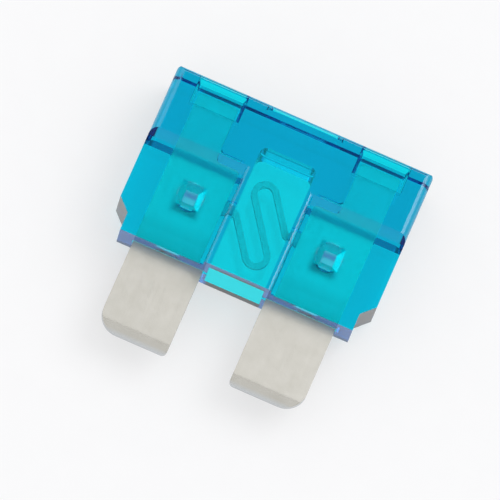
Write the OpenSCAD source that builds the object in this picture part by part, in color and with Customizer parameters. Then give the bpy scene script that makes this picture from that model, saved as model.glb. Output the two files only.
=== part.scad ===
// Blade fuse: a clear moulded housing round one stamped metal element.
// The fuse lies on its back: X is the width, Y runs from the blade tips to the head,
// Z is the thickness, and z = 0 is the face that it lies on.

/* [Housing] */
// Width of the head, and of the whole fuse
head_w = 19.1; // [18.7:0.1:21]
// Height of the housing along the blades
body_h = 12.2; // [11.6:0.1:13.5]
// Thickness of the head and of the middle column
head_t = 5.1; // [4.8:0.1:6]
// Height of the thick head bar
head_h = 4.7; // [4.2:0.1:5.5]
// Width of the middle column that stands as proud as the head
column_w = 5.0; // [4.8:0.1:6]
// Thickness of the two side panels that hold the plates
panel_t = 3.8; // [3.4:0.1:4.2]
// Height of the slope between the head and the panels
ledge_h = 0.6; // [0.3:0.1:1]
// Sideways depth of the cut at the two lower corners
corner_cut = 0.9; // [0.4:0.1:1.2]
// Height of the straight foot below each corner cut
corner_foot = 1.2; // [0.8:0.1:2]
// Height of the bevel along the lower edge of each panel face
bevel_h = 1.0; // [0.5:0.1:1.5]
// Depth of the bevel along the lower edge of each panel face
bevel_d = 0.3; // [0.1:0.05:0.45]
// Radius along the four long side edges of the head
side_r = 0.6; // [0.3:0.1:1]
// Radius along the upper edges of the head
top_r = 0.3; // [0.1:0.05:0.6]
// Radius along the long edges of the column
column_r = 0.25; // [0.1:0.05:0.5]

/* [Hollows] */
// Play between the metal and its slots, on each side
slot_play = 0.05; // [0.02:0.01:0.1]
// Wall of the column in front of the link chamber and behind it
chamber_wall = 0.85; // [0.7:0.05:1.1]
// How far each chamber side stands in from the inner edge of the blade beside it
chamber_inset = 0.3; // [0.1:0.05:0.4]
// Free height above the link, up to the chamber ceiling
chamber_headroom = 1.7; // [1:0.1:2]
// Radius of the two ceiling corners of the chamber
chamber_r = 0.5; // [0.2:0.1:1]
// Length of each test window in the top face
window_l = 3.7; // [3.3:0.1:4]
// Width of each test window
window_w = 1.3; // [1:0.1:1.8]
// Depth of each test window
window_d = 1.8; // [1:0.1:2]
// Length of the bare pad between the test windows
pad_l = 5.8; // [4:0.1:7]
// Width of the bare pad
pad_w = 2.4; // [1.5:0.1:3]
// Depth of the bare pad
pad_d = 0.1; // [0.1:0.05:0.4]

/* [Metal element] */
// Thickness of the strip
strip_t = 0.65; // [0.5:0.05:0.85]
// Width of each blade
blade_w = 5.2; // [4.9:0.1:5.4]
// Distance between the centre lines of the blades
blade_pitch = 9.9; // [9.6:0.1:10.2]
// Free length of the blades below the housing
blade_len = 6.6; // [5.5:0.1:8]
// Radius of the outer corner of each blade tip
tip_outer_r = 1.5; // [0.6:0.1:2.2]
// Radius of the inner corner of each blade tip
tip_inner_r = 0.35; // [0.1:0.05:1]
// Length of the coined bevels on the blade tips
coin_l = 0.8; // [0.4:0.1:1.2]
// Thickness left at the very end of the blade tips
coin_t = 0.35; // [0.2:0.05:0.45]
// Height of the plates inside the housing, up to the foot of the tabs
plate_h = 8.0; // [7.4:0.1:8.4]
// How far the inner edge of each plate stands back from that of its blade
plate_inset = 0.45; // [0.2:0.05:0.6]
// Height that the full width of each blade reaches inside the housing, before the plate narrows
mouth_l = 0.4; // [0.3:0.05:0.8]
// Width of the test tab on each plate
tab_w = 2.95; // [2.5:0.05:3.2]
// How far the test tabs stay below the top face
tab_drop = 0.8; // [0.3:0.1:0.9]
// Radius at the foot and head corners of the test tabs
tab_r = 0.3; // [0.1:0.05:0.5]

/* [Link] */
// Width of the thin link
link_w = 0.45; // [0.3:0.05:0.6]
// Thickness of the thin link
link_t = 0.3; // [0.2:0.05:0.4]
// Height of the middle of the link above the lower edge of the housing
link_y = 4.6; // [4.3:0.1:5]
// Length of the middle run between its two turns
link_run = 4.1; // [3:0.1:4.4]
// Lean of the three runs away from the blade direction
link_lean = 35; // [28:1:38]
// Length of the flared root at each plate
root_l = 0.5; // [0.4:0.05:0.7]
// Width of the flared root where it leaves the plate
root_w = 1.1; // [0.7:0.1:1.6]

/* [Stakes] */
// Height of the stakes above the lower edge of the housing
stake_y = 4.1; // [3.4:0.1:4.6]
// Diameter of the holes through the plates
stake_hole = 1.8; // [1.4:0.1:2.2]
// Play between each stake and its hole
stake_play = 0.05; // [0.02:0.01:0.1]
// Width of each punched hollow at the panel face
punch_w = 1.8; // [1.4:0.1:2.4]
// Width of the floor of each punched hollow
punch_floor = 0.9; // [0.5:0.1:1.2]
// Depth of each punched hollow
punch_d = 0.6; // [0.4:0.1:0.9]

/* [Hidden] */
$fn = 48;
// Overlap that makes cuts run clear of the faces they open
eps = 0.01;
mid_z = head_t / 2;
// The middle of the whole length is at y = 0, so the lower edge of the housing is here
base_y = (blade_len - body_h) / 2;
head_y = body_h - head_h;
panel_lo = (head_t - panel_t) / 2;
panel_hi = (head_t + panel_t) / 2;
blade_in = (blade_pitch - blade_w) / 2;
plate_in = blade_in + plate_inset;
plate_out = (blade_pitch + blade_w) / 2;
tab_x = plate_out - tab_w / 2;
tab_top = body_h - tab_drop;
// The outer runs pass the level of the link's middle where the roots end
bend_x = blade_in - root_l;
turn_r = bend_x * cos(link_lean) / 2;
link_top = link_y + turn_r * (1 + sin(link_lean)) + link_run / 2 * cos(link_lean) + link_w / 2;
chamber_w = 2 * (blade_in - chamber_inset);
chamber_t = head_t - 2 * chamber_wall;
chamber_h = link_top + chamber_headroom;
window_floor = body_h - window_d;
slot_t = strip_t + 2 * slot_play;
root_slot_t = link_t + 2 * slot_play;
stake_x = (plate_in + plate_out) / 2;

// Extrudes an outline drawn in X and Z from one level of Y to another
module along_y(from, to)
    translate([0, to, 0]) rotate([90, 0, 0]) linear_extrude(to - from) children();

// Extrudes a profile drawn in Y and Z across a width that is centred on x = 0
module along_x(width)
    translate([-width / 2, 0, 0]) rotate([90, 0, 90]) linear_extrude(width) children();

// Both halves of what is drawn on the right
module both_sides() {
    children();
    mirror([1, 0, 0]) children();
}

// Rectangle with round corners, centred on the origin
module rounded_rect(w, h, r) {
    square([w - 2 * r, h], center = true);
    square([w, h - 2 * r], center = true);
    for (x = [-1, 1], y = [-1, 1])
        translate([x * (w / 2 - r), y * (h / 2 - r)]) circle(r);
}

// What is cut from a square corner at the origin to round it: the corner points to +X +Y
module corner_nib(r)
    translate([-r, -r]) difference() {
        square(r + eps);
        circle(r);
    }

// Front outline of the housing, with the stepped lower corners
module front_outline()
    difference() {
        polygon([
            [-head_w / 2, body_h],
            [-head_w / 2, corner_foot + corner_cut],
            [-head_w / 2 + corner_cut, corner_foot],
            [-head_w / 2 + corner_cut, 0],
            [head_w / 2 - corner_cut, 0],
            [head_w / 2 - corner_cut, corner_foot],
            [head_w / 2, corner_foot + corner_cut],
            [head_w / 2, body_h]
        ]);
        both_sides() translate([head_w / 2, body_h]) corner_nib(top_r);
    }

// Side profile of the head, its sloped ledges and the thinner panels, in Y and Z
module side_profile()
    difference() {
        polygon([
            [0, panel_lo + bevel_d],
            [bevel_h, panel_lo],
            [head_y - ledge_h, panel_lo],
            [head_y, 0],
            [body_h, 0],
            [body_h, head_t],
            [head_y, head_t],
            [head_y - ledge_h, panel_hi],
            [bevel_h, panel_hi],
            [0, panel_hi - bevel_d]
        ]);
        translate([body_h, head_t]) corner_nib(top_r);
        translate([body_h, 0]) mirror([0, 1]) corner_nib(top_r);
    }

// Head and panels: the front outline, the side profile and the rounded section in one form
module head_and_panels()
    intersection() {
        linear_extrude(head_t) front_outline();
        along_x(head_w) side_profile();
        along_y(0, body_h) translate([0, mid_z]) rounded_rect(head_w, head_t, side_r);
    }

// Middle column, as thick as the head
module column()
    along_y(0, head_y + top_r) translate([0, mid_z]) rounded_rect(column_w, head_t, column_r);

// Chamber round the link, open at the bottom, with a round-cornered ceiling
module chamber()
    translate([0, 0, mid_z - chamber_t / 2]) linear_extrude(chamber_t) {
        translate([-chamber_w / 2, -eps]) square([chamber_w, chamber_h - chamber_r + eps]);
        translate([0, chamber_h / 2 + chamber_r]) rounded_rect(chamber_w, chamber_h - 2 * chamber_r, chamber_r);
    }

// Round inner corner at the foot of the right tab, moved outwards by the play of its slot
module tab_corner(play)
    translate([plate_out - tab_w - play, plate_h + play]) mirror([0, 1]) corner_nib(tab_r);

// Slots that take the plates, with wider mouths for the blades and narrower tops for the tabs,
// and the thin slot that lets the link's roots in from below
module slots() {
    translate([0, 0, mid_z - slot_t / 2]) linear_extrude(slot_t) both_sides() {
        translate([plate_in - slot_play, -eps])
            square([plate_out - plate_in + 2 * slot_play, plate_h + slot_play + eps]);
        translate([blade_in - slot_play, -eps])
            square([blade_w + 2 * slot_play, mouth_l + slot_play + eps]);
        translate([tab_x - tab_w / 2 - slot_play, 0])
            square([tab_w + 2 * slot_play, window_floor + eps]);
        tab_corner(slot_play);
    }
    translate([-plate_in, -eps, mid_z - root_slot_t / 2])
        cube([2 * plate_in, link_y + root_w / 2 + slot_play + eps, root_slot_t]);
}

// Test window over one tab
module test_window()
    along_y(window_floor, body_h + eps) translate([tab_x, mid_z]) rounded_rect(window_l, window_w, window_w / 4);

// Shallow bare pad in the middle of the top face, with round ends
module top_pad()
    along_y(body_h - pad_d, body_h + eps) translate([0, mid_z]) {
        square([pad_l - pad_w, pad_w], center = true);
        both_sides() translate([(pad_l - pad_w) / 2, 0]) circle(pad_w / 2);
    }

// Punched square hollow with four sloping sides, sunk into a panel face at the origin
module punch_mark()
    intersection() {
        along_x(punch_w) punch_profile();
        rotate([0, 0, 90]) along_x(punch_w) punch_profile();
    }

module punch_profile()
    polygon([
        [-punch_floor / 2, -punch_d],
        [punch_floor / 2, -punch_d],
        [punch_w / 2, 0],
        [punch_w / 2, eps],
        [-punch_w / 2, eps],
        [-punch_w / 2, 0]
    ]);

// Stake that fills the hole of a plate
module stake()
    translate([stake_x, stake_y, mid_z - slot_t / 2 - eps])
        cylinder(d = stake_hole - 2 * stake_play, h = slot_t + 2 * eps);

// One-piece moulded housing
module housing()
    color([0.05, 0.55, 0.85, 0.6]) translate([0, base_y, 0]) {
        difference() {
            union() {
                head_and_panels();
                column();
            }
            chamber();
            slots();
            both_sides() test_window();
            top_pad();
            both_sides() translate([stake_x, stake_y, panel_hi]) punch_mark();
            both_sides() translate([stake_x, stake_y, panel_lo]) mirror([0, 0, 1]) punch_mark();
        }
        both_sides() stake();
    }

// Outline of the right blade with its plate and test tab
module blade_outline()
    difference() {
        union() {
            translate([blade_in, -blade_len]) square([blade_w, blade_len + mouth_l]);
            translate([plate_in, -blade_len]) square([plate_out - plate_in, blade_len + plate_h]);
            translate([plate_out - tab_w, 0]) square([tab_w, tab_top]);
            tab_corner(0);
        }
        translate([plate_out, -blade_len]) mirror([0, 1]) corner_nib(tip_outer_r);
        translate([blade_in, -blade_len]) rotate(180) corner_nib(tip_inner_r);
        translate([plate_in, plate_h]) mirror([1, 0]) corner_nib(tab_r);
        translate([plate_out, tab_top]) corner_nib(tab_r);
        translate([plate_out - tab_w, tab_top]) mirror([1, 0]) corner_nib(tab_r);
        translate([stake_x, stake_y]) circle(d = stake_hole);
    }

// Side profile of the strip in Y and Z, thinned by coining at the blade tips
module strip_profile()
    polygon([
        [-blade_len, mid_z - coin_t / 2],
        [-blade_len + coin_l, mid_z - strip_t / 2],
        [tab_top, mid_z - strip_t / 2],
        [tab_top, mid_z + strip_t / 2],
        [-blade_len + coin_l, mid_z + strip_t / 2],
        [-blade_len, mid_z + coin_t / 2]
    ]);

// Straight piece of the link between two points, with round ends
module link_piece(from, to) {
    run = norm(to - from);
    translate(from) rotate(atan2(to[1] - from[1], to[0] - from[0]))
        translate([0, -link_w / 2]) square([run, link_w]);
    translate(from) circle(d = link_w);
}

// Upper right half of the S-shaped link, from its middle to the root at the right plate
module half_link() {
    up = [-sin(link_lean), cos(link_lean)];
    side = [cos(link_lean), sin(link_lean)];
    turn_start = up * link_run / 2;
    turn_end = turn_start + 2 * turn_r * side;
    link_piece([0, 0], turn_start);
    translate(turn_start + turn_r * side) rotate(link_lean) intersection() {
        difference() {
            circle(turn_r + link_w / 2);
            circle(turn_r - link_w / 2);
        }
        translate([-turn_r - link_w, -eps]) square(2 * (turn_r + link_w));
    }
    link_piece([bend_x, 0], turn_end);
    polygon([
        [bend_x, -link_w / 2],
        [plate_in, -root_w / 2],
        [plate_in + link_w, -root_w / 2],
        [plate_in + link_w, root_w / 2],
        [plate_in, root_w / 2],
        [bend_x, link_w / 2]
    ]);
}

// One stamped strip: two blades with their plates and tabs, joined by the thin link
module fuse_element()
    color([0.78, 0.77, 0.73]) translate([0, base_y, 0]) {
        intersection() {
            linear_extrude(head_t) both_sides() blade_outline();
            along_x(2 * plate_out) strip_profile();
        }
        translate([0, link_y, mid_z - link_t / 2]) linear_extrude(link_t) {
            half_link();
            rotate(180) half_link();
        }
    }

housing();
fuse_element();
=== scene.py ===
# %% [markdown]
# # A blade fuse in clear blue plastic
#
# A blade fuse has two pieces. One is a housing moulded in clear tinted
# polycarbonate. The other is a strip of plated zinc alloy with two blades, two
# plates and a thin S-shaped link, which melts when the current is too high.
# The link has to be seen from outside, so that a blown fuse shows at a glance.
#
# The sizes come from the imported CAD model, which is loaded first and never
# changed. The dimensions below are in millimetres and Blender's are in metres,
# so one factor turns one into the other.

import math

import bmesh
import bpy
import numpy as np
from mathutils import Matrix, Vector


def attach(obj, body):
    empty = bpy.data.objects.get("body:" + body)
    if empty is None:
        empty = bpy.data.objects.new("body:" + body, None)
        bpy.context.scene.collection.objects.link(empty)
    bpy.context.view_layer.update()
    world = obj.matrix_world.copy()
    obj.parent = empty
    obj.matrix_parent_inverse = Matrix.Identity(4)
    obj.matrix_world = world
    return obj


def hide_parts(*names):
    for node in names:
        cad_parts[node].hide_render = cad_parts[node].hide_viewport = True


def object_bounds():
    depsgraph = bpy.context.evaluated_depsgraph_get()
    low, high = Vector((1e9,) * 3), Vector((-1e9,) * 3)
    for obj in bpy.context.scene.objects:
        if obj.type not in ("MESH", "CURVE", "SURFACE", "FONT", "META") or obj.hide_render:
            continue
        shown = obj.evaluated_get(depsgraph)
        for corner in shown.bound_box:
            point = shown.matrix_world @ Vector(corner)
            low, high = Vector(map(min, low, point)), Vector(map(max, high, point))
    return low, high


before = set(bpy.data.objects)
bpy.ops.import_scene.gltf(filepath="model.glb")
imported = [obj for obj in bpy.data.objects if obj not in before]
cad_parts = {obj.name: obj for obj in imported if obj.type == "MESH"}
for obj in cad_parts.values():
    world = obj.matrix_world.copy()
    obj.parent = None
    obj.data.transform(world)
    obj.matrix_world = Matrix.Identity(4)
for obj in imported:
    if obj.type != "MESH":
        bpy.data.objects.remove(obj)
cad_box = [list(corner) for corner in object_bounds()]
MM = 0.001
print("CAD nodes:", sorted(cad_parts))
print("CAD box in mm:", np.round(np.array(cad_box) / MM, 2).tolist())

# %% [markdown]
# ## From CAD solid to a mesh that can be worked on
#
# A CAD node arrives as loose triangles. It could be shown as it is, with a new
# material, but no moulded or stamped edge is perfectly sharp, and it is the
# small radius along each edge that catches the light. A radius needs edges
# that know both of their faces. So each node is copied, its triangles are
# joined at their shared corners, and flat neighbours become one face. The copy
# then takes the node's place.

# %% Copy a CAD node and join its triangles
MERGE_WITHIN = 0.001  # mm: corners nearer than this are one corner
FLAT_WITHIN = 0.5  # degrees: faces that turn by less than this are one face


def joined_copy(node, name):
    """A closed mesh of the node: corners within MERGE_WITHIN become one, and
    neighbours within FLAT_WITHIN of each other become one face."""
    mesh = bpy.data.meshes.new(name)
    work = bmesh.new()
    work.from_mesh(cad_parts[node].data)
    bmesh.ops.remove_doubles(work, verts=work.verts, dist=MERGE_WITHIN * MM)
    bmesh.ops.dissolve_limit(
        work,
        angle_limit=math.radians(FLAT_WITHIN),
        verts=work.verts,
        edges=work.edges,
    )
    open_edges = sum(len(e.link_faces) != 2 for e in work.edges)
    print(
        f"{name}: {len(work.faces)} faces, {open_edges} open edges,",
        f"{work.calc_volume() / MM**3:.1f} mm3",
    )
    work.to_mesh(mesh)
    work.free()
    piece = bpy.data.objects.new(name, mesh)
    bpy.context.scene.collection.objects.link(piece)
    return piece


moulding = joined_copy("housing", "housing_moulding")
strip = joined_copy("fuse_element", "fuse_strip")

# %% [markdown]
# ## Which edges get a radius
#
# The Bevel modifier can round every edge over some angle, but then the finest
# gaps, such as the twentieth of a millimetre round each stake, would limit
# them all. A weight for each edge is better. The weights come from what is
# known of an edge: its middle, the angle between its two faces, and whether it
# stands out or lies in a corner. All are worked out as whole arrays.

# %% Measure the edges of a mesh


def values(collection, attribute, width=1, kind=float):
    """One attribute of all items of a mesh collection, in width columns."""
    found = np.empty(len(collection) * width, kind)
    collection.foreach_get(attribute, found)
    return found.reshape(-1, width) if width > 1 else found


def edge_facts(mesh):
    """For every edge: its middle in mm, the turn between its faces in degrees,
    and if it is convex. The turn is the angle between the two face normals. An
    edge is convex where the cross product of those normals points the way that
    the first face runs along it."""
    points = values(mesh.vertices, "co", 3) / MM
    ends = values(mesh.edges, "vertices", 2, np.int32)
    normals = values(mesh.polygons, "normal", 3)
    corners = values(mesh.polygons, "loop_total", 1, np.int32)
    face_of_corner = np.repeat(np.arange(len(corners)), corners)
    order = np.argsort(values(mesh.loops, "edge_index", 1, np.int32), kind="stable")
    first, second = order[0::2], order[1::2]
    a, b = normals[face_of_corner[first]], normals[face_of_corner[second]]
    turn = np.degrees(np.arccos(np.clip((a * b).sum(1), -1, 1)))
    start = values(mesh.loops, "vertex_index", 1, np.int32)[first]
    along = points[ends[:, 1]] - points[ends[:, 0]]
    along *= np.where(start == ends[:, 0], 1, -1)[:, None]
    convex = (np.cross(a, b) * along).sum(1) > 0
    return points[ends].mean(1), turn, convex


CRISP = 9  # degrees: the facets of a round turn by 7.5, and every real corner by more


def round_edges(piece, radius_mm, weights, turn, segments=3):
    """Gives each edge its share of the radius, keeps every real corner crisp,
    and adds the Bevel modifier that rounds them."""
    mesh = piece.data
    mesh.shade_smooth()
    crisp = mesh.attributes.new("sharp_edge", "BOOLEAN", "EDGE")
    crisp.data.foreach_set("value", turn > CRISP)
    share = mesh.attributes.new("bevel_weight_edge", "FLOAT", "EDGE")
    share.data.foreach_set("value", weights.astype(np.float32))
    bevel = piece.modifiers.new("edge_radius", "BEVEL")
    bevel.limit_method, bevel.width, bevel.segments = "WEIGHT", radius_mm * MM, segments
    bevel.use_clamp_overlap = True
    flat = piece.modifiers.new("flat_stays_flat", "WEIGHTED_NORMAL")
    flat.mode, flat.weight, flat.keep_sharp = "FACE_AREA", 100, True
    count = np.count_nonzero(weights)
    print(f"{piece.name}: {count} edges rounded up to {radius_mm} mm")


# %% [markdown]
# ## The moulded housing
#
# A mould is cut with a tool that leaves a radius of about a tenth of a
# millimetre, and the plastic copies it. Every outer edge that stands out gets
# it, also round the windows, the bare pad, the punched hollows and the mouth of
# the chamber. The slots that hold the strip stay crisp: they are hardly wider
# than the strip, and the stakes in them have no room for a radius.

# %% Round the outer edges of the housing
EDGE_R = 0.1  # mm, the radius that the mould leaves
SLOT_ZONE = 0.4  # mm each side of the middle of the thickness
MOULD_CORNER = 25  # degrees: the mould's corners turn by more than this
thickness_mid = (cad_box[0][2] + cad_box[1][2]) / 2 / MM

middle, turn, convex = edge_facts(moulding.data)
in_slot = np.abs(middle[:, 2] - thickness_mid) < SLOT_ZONE
outer = convex & (turn > MOULD_CORNER) & ~in_slot
round_edges(moulding, EDGE_R, outer.astype(float), turn)
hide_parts("housing")
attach(moulding, "root")

# %% [markdown]
# ## The stamped strip
#
# A punch drags the metal down as it enters, so the face it comes from has a
# soft edge, the die roll, and the other face has a sharp one. The strip gets
# a radius of about a sixth of its thickness on the upper face and a third of
# that below. The thinned link and the tips get less, because they have less
# metal.

# %% Roll the upper edges of the strip
DIE_ROLL = 0.1  # mm, on the face that the punch comes from
BURR_SIDE = 0.3  # share of that on the other face
STAMPED_CORNER = 40  # degrees: the strip's corners turn by more than this
FACE_FROM = 0.1  # mm from the middle: nearer edges cross the thickness, and stay sharp
THIN_TO = 0.2  # mm from the middle: nearer edges are those of the link and the tips
THIN_SHARE = 0.4  # share of the radius there

middle, turn, convex = edge_facts(strip.data)
above = middle[:, 2] > thickness_mid
off_mid = np.abs(middle[:, 2] - thickness_mid)
weights = np.where(above, 1.0, BURR_SIDE) * (convex & (turn > STAMPED_CORNER))
weights = weights * (off_mid > FACE_FROM) * np.where(off_mid < THIN_TO, THIN_SHARE, 1.0)
round_edges(strip, DIE_ROLL, weights, turn)
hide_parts("fuse_element")
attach(strip, "root")

# %% [markdown]
# ## Three helpers for materials
#
# Colours are written as sRGB hex values, as a paint shop would give them, and
# Blender works in linear light, so one function turns one into the other. The
# second adds a node and sets or links its inputs in one line. The third starts a
# material whose patterns are measured in millimetres on the object.

# %% Colour, node and material helpers


def linear(hex_colour):
    """The linear red, green, blue and 1 of an sRGB hex colour: under 0.04045 a
    straight line, above it the power of 2.4."""
    s = np.array([int(hex_colour[i : i + 2], 16) for i in (1, 3, 5)]) / 255
    rgb = np.where(s <= 0.04045, s / 12.92, ((s + 0.055) / 1.055) ** 2.4)
    return (*rgb.tolist(), 1.0)


def add(tree, kind, settings=None, **inputs):
    """Adds a node. settings are its properties. Each input is a value, or an
    output to link. Its name has _ for a space or, for inputs that share a name,
    the input's number after n."""
    node = tree.nodes.new(kind)
    for name, value in (settings or {}).items():
        setattr(node, name, value)
    for name, value in inputs.items():
        which = int(name[1:]) if name[1:].isdigit() else name.replace("_", " ")
        socket = node.inputs[which]
        if isinstance(value, bpy.types.NodeSocket):
            tree.links.new(value, socket)
        else:
            socket.default_value = value
    return node


def material(name):
    """A node material, its tree, its output node and the point that patterns
    are read at, in mm."""
    made = bpy.data.materials.new(name)
    made.use_nodes = True
    tree = made.node_tree
    tree.nodes.clear()
    out = add(tree, "ShaderNodeOutputMaterial")
    where = add(tree, "ShaderNodeTexCoord")
    point = add(
        tree,
        "ShaderNodeMapping",
        n0=where.outputs["Object"],
        Scale=(1 / MM, 1 / MM, 1 / MM),
    )
    return made, tree, out, point.outputs[0]


print("#0080FF in linear light:", np.round(linear("#0080FF"), 3).tolist())

# %% [markdown]
# ## Clear tinted polycarbonate
#
# The housing is polycarbonate, moulded against polished steel. The dye is in
# the plastic and not on it, so the colour depends on how much plastic the light
# has passed: a thin wall is pale cyan, the full head is deep blue. Volume
# absorption gives that. Each millimetre takes nearly all of the red, an eighth
# of the green and a twentieth of the blue.
#
# A polished moulding is smooth but not perfect. Slow waves a few millimetres
# long bend the reflections, and handling leaves fine scuffs that show as small
# changes in roughness. The hollows over the stakes are matt, because a rough
# punch pressed them in after moulding.

# %% Make the plastic
FLOW_WAVE = 2.6  # mm, length of the waves that the flowing plastic leaves
WAVE_HEIGHT = 0.008 * MM  # how far they stand up
SCUFF = 0.35  # mm, size of the scuffed spots
POLISHED, SCUFFED = 0.01, 0.06  # roughness, from the clearest to the dullest spots
PUNCH_AT = (5.175, 1.3)  # mm, X from the middle and Y of the punched hollows
PUNCH_R, PUNCH_FADE = 1.0, 0.1  # mm, the spot that each punch leaves matt, and its rim
PUNCHED = 0.3  # roughness there
POLYCARBONATE_IOR = 1.585
DYE_DENSITY = 3.0 / MM  # what the dye takes from a colour that it stops fully

clear_pc, tree, out, point = material("clear_polycarbonate")
flow = add(tree, "ShaderNodeTexNoise", Vector=point, Scale=1 / FLOW_WAVE, Detail=2.0)
scuffs = add(tree, "ShaderNodeTexNoise", Vector=point, Scale=1 / SCUFF, Detail=4.0)
waves = add(
    tree,
    "ShaderNodeBump",
    Strength=0.5,
    Distance=WAVE_HEIGHT,
    Height=flow.outputs["Fac"],
)
tint = add(
    tree,
    "ShaderNodeMix",
    {"data_type": "RGBA"},
    n0=flow.outputs["Fac"],
    n6=linear("#F6FDFF"),
    n7=linear("#FFFFFF"),
)
gloss = add(
    tree, "ShaderNodeMapRange", n0=scuffs.outputs["Fac"], n3=POLISHED, n4=SCUFFED
)
place = add(tree, "ShaderNodeSeparateXYZ", n0=point)
sideways = add(tree, "ShaderNodeMath", {"operation": "ABSOLUTE"}, n0=place.outputs["X"])
from_punch = add(
    tree,
    "ShaderNodeCombineXYZ",
    X=add(
        tree,
        "ShaderNodeMath",
        {"operation": "SUBTRACT"},
        n0=sideways.outputs[0],
        n1=PUNCH_AT[0],
    ).outputs[0],
    Y=add(
        tree,
        "ShaderNodeMath",
        {"operation": "SUBTRACT"},
        n0=place.outputs["Y"],
        n1=PUNCH_AT[1],
    ).outputs[0],
)
reach = add(
    tree, "ShaderNodeVectorMath", {"operation": "LENGTH"}, n0=from_punch.outputs[0]
)
is_punched = add(
    tree,
    "ShaderNodeMapRange",
    n0=reach.outputs["Value"],
    n1=PUNCH_R + PUNCH_FADE,
    n2=PUNCH_R - PUNCH_FADE,
    n3=0.0,
    n4=1.0,
).outputs["Result"]
finish = add(
    tree,
    "ShaderNodeMix",
    {"data_type": "FLOAT"},
    n0=is_punched,
    n2=gloss.outputs[0],
    n3=PUNCHED,
)
plastic = add(
    tree,
    "ShaderNodeBsdfPrincipled",
    Base_Color=tint.outputs[2],
    Roughness=finish.outputs[0],
    IOR=POLYCARBONATE_IOR,
    Specular_IOR_Level=0.3,
    Transmission_Weight=1.0,
    Normal=waves.outputs[0],
)
dye = add(
    tree, "ShaderNodeVolumeAbsorption", Color=linear("#00FAFD"), Density=DYE_DENSITY
)
tree.links.new(plastic.outputs[0], out.inputs["Surface"])
tree.links.new(dye.outputs[0], out.inputs["Volume"])
moulding.data.materials.append(clear_pc)
print("plastic:", len(tree.nodes), "nodes")

# %% [markdown]
# ## Plated zinc alloy
#
# The strip is rolled, plated with tin and stamped. Tin is a pale, slightly warm
# grey with a satin surface. The rolls leave fine lines along the blades. The
# cut edges are rougher, with marks across the thickness, and the coined tips
# are pressed smooth, so they shine a little more. The bare blades have a duller
# tone, in random patches. The plates in the housing are painted a brighter tin,
# as painted light for what the plastic takes from the light on its way; it fades
# out over the lowest two millimetres.

# %% Make the metal
ROLL_LINE = 0.12  # mm between the rolling lines, which are finer on the real strip
LINE_LENGTH = 4.0  # mm
CUT_LINE = 0.06  # mm between the marks on the cut edges
CUT_LENGTH = 2.0  # mm, so that a mark crosses the whole thickness
GROOVE = 0.004 * MM  # depth of the lines and of the marks
GRAIN = 0.8  # mm, size of the patches in the dull tone
LEVEL, STEEP = 0.55, 0.25  # upward part of the normal: on faces, and on cut edges
CORE, PLATED = 0.18, 0.24  # mm from the middle: zinc shows within, tin covers beyond
TIP_Y, TIP_FADE = -8.6, 0.1  # mm, where the coined tips begin, and how softly
MOUTH_Y = -2.8  # mm, the lower edge of the housing; above it the plates are painted brighter
PAINTED_BRIGHT_STARTS, PAINTED_BRIGHT_FULL = 0.4, 2.4  # mm above that edge, where the painted brighter tin fades in over the dull tone
SATIN, LINED = 0.3, 0.46  # roughness between the rolling lines and in them
COINED = 0.25  # roughness of the tips

tin_zinc, tree, out, point = material("tin_plated_zinc")
along_blade = add(
    tree,
    "ShaderNodeMapping",
    n0=point,
    Scale=(1 / ROLL_LINE, 1 / LINE_LENGTH, 1 / ROLL_LINE),
)
rolling = add(
    tree, "ShaderNodeTexNoise", Vector=along_blade.outputs[0], Scale=1.0, Detail=3.0
)
across_edge = add(
    tree,
    "ShaderNodeMapping",
    n0=point,
    Scale=(1 / CUT_LINE, 1 / CUT_LINE, 1 / CUT_LENGTH),
)
cut_marks = add(
    tree, "ShaderNodeTexNoise", Vector=across_edge.outputs[0], Scale=1.0, Detail=2.0
)
grains = add(tree, "ShaderNodeTexNoise", Vector=point, Scale=1 / GRAIN, Detail=5.0)
facing = add(
    tree,
    "ShaderNodeSeparateXYZ",
    n0=add(tree, "ShaderNodeNewGeometry").outputs["Normal"],
)
upright = add(tree, "ShaderNodeMath", {"operation": "ABSOLUTE"}, n0=facing.outputs["Z"])
is_cut = add(
    tree,
    "ShaderNodeMapRange",
    n0=upright.outputs[0],
    n1=LEVEL,
    n2=STEEP,
    n3=0.0,
    n4=1.0,
).outputs["Result"]
place = add(tree, "ShaderNodeSeparateXYZ", n0=point)
off_middle = add(
    tree,
    "ShaderNodeMath",
    {"operation": "SUBTRACT"},
    n0=place.outputs["Z"],
    n1=thickness_mid,
)
depth = add(tree, "ShaderNodeMath", {"operation": "ABSOLUTE"}, n0=off_middle.outputs[0])
is_core = add(
    tree,
    "ShaderNodeMapRange",
    n0=depth.outputs[0],
    n1=PLATED,
    n2=CORE,
    n3=0.0,
    n4=1.0,
).outputs["Result"]
is_zinc = add(tree, "ShaderNodeMath", {"operation": "MAXIMUM"}, n0=is_cut, n1=is_core)
is_tip = add(
    tree,
    "ShaderNodeMapRange",
    n0=place.outputs["Y"],
    n1=TIP_Y + TIP_FADE,
    n2=TIP_Y - TIP_FADE,
    n3=0.0,
    n4=1.0,
).outputs["Result"]
# Painted light: 0 inside the housing, where the plates get a brighter tin for the light
# that the plastic takes, 1 on the bare blades
past_painted_bright_plates = add(
    tree,
    "ShaderNodeMapRange",
    n0=place.outputs["Y"],
    n1=MOUTH_Y + PAINTED_BRIGHT_FULL,
    n2=MOUTH_Y + PAINTED_BRIGHT_STARTS,
    n3=0.0,
    n4=1.0,
).outputs["Result"]
dulled = add(
    tree,
    "ShaderNodeMix",
    {"data_type": "RGBA"},
    n0=grains.outputs["Fac"],
    n6=linear("#B4B2AA"),
    n7=linear("#C4C2BC"),
)
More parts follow.
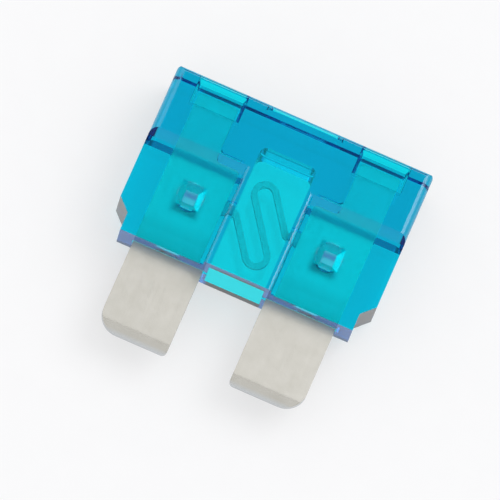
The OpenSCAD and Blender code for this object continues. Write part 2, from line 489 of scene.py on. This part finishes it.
# The brighter tin #DEDDD5 is painted light, for the plates inside the housing
tone = add(
    tree,
    "ShaderNodeMix",
    {"data_type": "RGBA"},
    n0=past_painted_bright_plates,
    n6=linear("#DEDDD5"),
    n7=dulled.outputs[2],
)
cut_tone = add(
    tree,
    "ShaderNodeMix",
    {"data_type": "RGBA"},
    n0=is_zinc.outputs[0],
    n6=tone.outputs[2],
    n7=linear("#BFC2C4"),
)
marks = add(
    tree,
    "ShaderNodeMix",
    {"data_type": "FLOAT"},
    n0=is_cut,
    n2=rolling.outputs["Fac"],
    n3=cut_marks.outputs["Fac"],
).outputs[0]
satin = add(
    tree, "ShaderNodeMapRange", n0=rolling.outputs["Fac"], n3=SATIN, n4=LINED
).outputs["Result"]
tip_satin = add(
    tree, "ShaderNodeMix", {"data_type": "FLOAT"}, n0=is_tip, n2=satin, n3=COINED
).outputs[0]
grooves = add(tree, "ShaderNodeBump", Strength=0.6, Distance=GROOVE, Height=marks)
metal = add(
    tree,
    "ShaderNodeBsdfPrincipled",
    Base_Color=cut_tone.outputs[2],
    Metallic=1.0,
    Roughness=tip_satin,
    Normal=grooves.outputs[0],
)
tree.links.new(metal.outputs[0], out.inputs["Surface"])
strip.data.materials.append(tin_zinc)
print("metal:", len(tree.nodes), "nodes")

# %% [markdown]
# ## A white table in a light tent
#
# Small clear parts are photographed on white paper with light from all round,
# so that no hard reflection hides the colour. The table is a round sheet whose
# rim rises in a smooth curve, like paper bent up behind the object.

# %% Lay the table
TABLE_FLAT = 0.7  # m, radius of the flat middle
TABLE_RIM = 1.6  # m, radius of the rim
RIM_RISE = 0.12  # m
PAPER_SHARE, THROUGH_SHARE = 0.6, 0.75  # how far the paper looks evenly lit, bare and through the plastic; the larger share through the plastic is painted light for what the plastic throws on the paper
PAPER_LEVEL = 1.05  # how bright it then looks, where 1 is white
PAPER_GAP = 0.03 * MM  # the air that the paper's fibres leave under the plastic
FIBRE = 2.0  # mm, size of the clouds in the paper


def table_surface(rings=48, spokes=96):
    """A function of radius and angle: flat up to TABLE_FLAT, then rising as half
    a cosine wave to RIM_RISE at TABLE_RIM. The middle is one point, so the sheet
    has no hole."""
    radius = np.linspace(0, TABLE_RIM, rings + 1)[1:]
    angle = np.linspace(0, 2 * np.pi, spokes, endpoint=False)
    r, a = np.meshgrid(radius, angle, indexing="ij")
    climb = np.clip((r - TABLE_FLAT) / (TABLE_RIM - TABLE_FLAT), 0, 1)
    z = RIM_RISE * (1 - np.cos(np.pi * climb)) / 2
    points = np.stack([r * np.cos(a), r * np.sin(a), z], -1).reshape(-1, 3)
    points = np.vstack([[0, 0, 0], points]) - [0, 0, PAPER_GAP]
    index = 1 + np.arange(rings * spokes).reshape(rings, spokes)
    turned = np.roll(index, -1, 1)
    middle = np.stack([np.zeros(spokes, int), index[0], turned[0]], -1)
    quads = np.stack([index[:-1], index[1:], turned[1:], turned[:-1]], -1)
    mesh = bpy.data.meshes.new("table")
    faces = middle.tolist() + quads.reshape(-1, 4).tolist()
    mesh.from_pydata(points.tolist(), [], faces)
    mesh.shade_smooth()
    table = bpy.data.objects.new("table", mesh)
    bpy.context.scene.collection.objects.link(table)
    return table


table = table_surface()
paper, tree, out, point = material("matt_paper")
fibres = add(tree, "ShaderNodeTexNoise", Vector=point, Scale=1 / FIBRE, Detail=6.0)
paper_tone = add(
    tree,
    "ShaderNodeMix",
    {"data_type": "RGBA"},
    n0=fibres.outputs["Fac"],
    n6=linear("#F1F1F2"),
    n7=linear("#F3F3F4"),
)
sheet = add(
    tree,
    "ShaderNodeBsdfPrincipled",
    Base_Color=paper_tone.outputs[2],
    Roughness=0.95,
    Specular_IOR_Level=0.2,
)
glow = add(
    tree, "ShaderNodeEmission", Color=paper_tone.outputs[2], Strength=PAPER_LEVEL
)
rays = add(tree, "ShaderNodeLightPath").outputs
seen_bare = add(
    tree,
    "ShaderNodeMath",
    {"operation": "MAXIMUM"},
    n0=rays["Is Camera Ray"],
    n1=rays["Is Glossy Ray"],
)
bare_share = add(
    tree,
    "ShaderNodeMath",
    {"operation": "MULTIPLY"},
    n0=seen_bare.outputs[0],
    n1=PAPER_SHARE,
)
# Painted light: seen through the plastic, the paper glows more, in place of the light that
# the clear plastic throws on it
share = add(
    tree,
    "ShaderNodeMix",
    {"data_type": "FLOAT"},
    n0=rays["Is Transmission Ray"],
    n2=bare_share.outputs[0],
    n3=THROUGH_SHARE,
)
both = add(
    tree,
    "ShaderNodeMixShader",
    n0=share.outputs[0],
    n1=sheet.outputs[0],
    n2=glow.outputs[0],
)
tree.links.new(both.outputs[0], out.inputs["Surface"])
table.data.materials.append(paper)
print("table:", len(table.data.polygons), "faces")

# %% [markdown]
# ## The camera
#
# The photograph looks down on the fuse from about 73 degrees, from a little
# right of the middle, and the fuse is turned clockwise in the picture. The
# distance is the photograph's, and the lens is longer, so that the fuse fills
# two thirds of the frame with the same gentle perspective.

# %% Place the camera
AZIMUTH, ELEVATION = math.radians(3.5), math.radians(73.5)
WIDTH_LEANS = math.radians(-23.6)  # where the fuse's width points in the picture
DISTANCE = 0.66  # m
PICTURE = 500  # pixels across
SCALE = 14.6  # of them a millimetre
SENSOR = 36.0  # mm
aim = Vector((0.0, 0.0, 0.00255))  # in the middle of the thickness

back = Vector(
    (
        math.sin(AZIMUTH) * math.cos(ELEVATION),
        -math.cos(AZIMUTH) * math.cos(ELEVATION),
        math.sin(ELEVATION),
    )
)
level = Vector((0, 0, 1)).cross(back).normalized()
upward = back.cross(level)
seen = math.atan2(upward.x, level.x)
roll = seen - WIDTH_LEANS
right = math.cos(roll) * level + math.sin(roll) * upward
up = back.cross(right)
camera = bpy.data.objects.new("camera", bpy.data.cameras.new("camera"))
camera.matrix_world = Matrix.Translation(aim + back * DISTANCE) @ Matrix(
    (right, up, back)
).transposed().to_4x4()
camera.data.sensor_width = SENSOR
camera.data.lens = SENSOR * SCALE / MM * DISTANCE / PICTURE
camera.data.clip_start, camera.data.clip_end = 0.01, 20.0
bpy.context.scene.collection.objects.link(camera)
bpy.context.scene.camera = camera
print(f"lens {camera.data.lens:.0f} mm at {DISTANCE} m")

# %% [markdown]
# ## The light
#
# The shadow in the photograph falls softly to the left, so a large soft light
# stands at the right and a little above in the picture. The rest comes from a
# white tent all round. The level is plain: white paper is just under white.
#
# Clear plastic shows what it mirrors and what shines through it, so cards in
# the tent shape it. Dark cards stand low all round: without them the edges would
# melt into the white. Two small dark cards hang high, one beyond the fuse and
# its twin on the near side. The flat upper faces mirror the far one into the
# lens, so that the dye shows there and not a grey sheen. Only mirrored and
# refracted rays meet the low cards and only mirrored ones the small cards, so
# they take no light from the table.

# %% Hang the lights
KEY_SIZE, KEY_DISTANCE, KEY_POWER = 0.7, 0.9, 2.6  # m, m and W
KEY_HEIGHT = math.radians(52)  # above the table
KEY_TURN = math.radians(25)  # in the picture, up from straight right
toward = right * math.cos(KEY_TURN) + up * math.sin(KEY_TURN)
toward.z = 0
toward.normalize()
direction = toward * math.cos(KEY_HEIGHT) + Vector((0, 0, math.sin(KEY_HEIGHT)))
key = bpy.data.objects.new("key_light", bpy.data.lights.new("key_light", "AREA"))
key.data.shape, key.data.size, key.data.energy = "DISK", KEY_SIZE, KEY_POWER
key.location = direction * KEY_DISTANCE
key.rotation_mode = "QUATERNION"
key.rotation_quaternion = direction.to_track_quat("Z", "Y")
bpy.context.scene.collection.objects.link(key)

TENT, SKY, BACKDROP = 0.92, 1.15, 0.95  # strength as light, in gloss, and in view
LOW_CARDS = math.radians(12), math.radians(42)  # between these heights they end
CARD_LIGHT = 0.3  # strength of the low cards
FLAG, FLAG_EDGE = math.radians(5), math.radians(3)  # a small card, and its rim
FLAG_LIGHT = 0.06  # what a small card leaves of the tent's light
MANY_BOUNCES, GLOSSY_BOUNCES = 24, 8  # clear plastic passes light on many times
world = bpy.data.worlds.new("light_tent")
world.use_nodes = True
tree = world.node_tree
tree.nodes.clear()
rays = add(tree, "ShaderNodeLightPath").outputs
toward_sky = add(tree, "ShaderNodeTexCoord").outputs["Generated"]
height = add(tree, "ShaderNodeSeparateXYZ", n0=toward_sky).outputs["Z"]
above_cards = add(
    tree,
    "ShaderNodeMapRange",
    {"interpolation_type": "SMOOTHSTEP"},
    n0=height,
    n1=math.sin(LOW_CARDS[0]),
    n2=math.sin(LOW_CARDS[1]),
    n3=CARD_LIGHT,
    n4=SKY,
).outputs["Result"]
across = add(tree, "ShaderNodeVectorMath", {"operation": "ABSOLUTE"}, n0=toward_sky)
off_flag = add(
    tree,
    "ShaderNodeVectorMath",
    {"operation": "DOT_PRODUCT"},
    n0=across.outputs[0],
    n1=(abs(back.x), abs(back.y), back.z),
)
beside_flag = add(
    tree,
    "ShaderNodeMapRange",
    n0=off_flag.outputs["Value"],
    n1=math.cos(FLAG + FLAG_EDGE),
    n2=math.cos(FLAG),
    n3=1.0,
    n4=FLAG_LIGHT,
).outputs["Result"]
mirrored_light = add(
    tree, "ShaderNodeMath", {"operation": "MULTIPLY"}, n0=above_cards, n1=beside_flag
).outputs[0]
passed_or_not = add(
    tree,
    "ShaderNodeMix",
    {"data_type": "FLOAT"},
    n0=rays["Is Transmission Ray"],
    n2=mirrored_light,
    n3=above_cards,
).outputs[0]
any_gloss = add(
    tree,
    "ShaderNodeMath",
    {"operation": "MAXIMUM"},
    n0=rays["Is Glossy Ray"],
    n1=rays["Is Transmission Ray"],
).outputs[0]
tent_light = add(
    tree,
    "ShaderNodeMix",
    {"data_type": "FLOAT"},
    n0=any_gloss,
    n2=TENT,
    n3=passed_or_not,
).outputs[0]
strength = add(
    tree,
    "ShaderNodeMix",
    {"data_type": "FLOAT"},
    n0=rays["Is Camera Ray"],
    n2=tent_light,
    n3=BACKDROP,
).outputs[0]
tent = add(tree, "ShaderNodeBackground", Color=linear("#FFFFFF"), Strength=strength)
world_out = add(tree, "ShaderNodeOutputWorld")
tree.links.new(tent.outputs[0], world_out.inputs["Surface"])
bpy.context.scene.world = world
bpy.context.scene.view_settings.view_transform = "Standard"
bpy.context.scene.cycles.max_bounces = MANY_BOUNCES
bpy.context.scene.cycles.transmission_bounces = MANY_BOUNCES
bpy.context.scene.cycles.glossy_bounces = GLOSSY_BOUNCES
print("key light from", np.round(direction, 2).tolist())
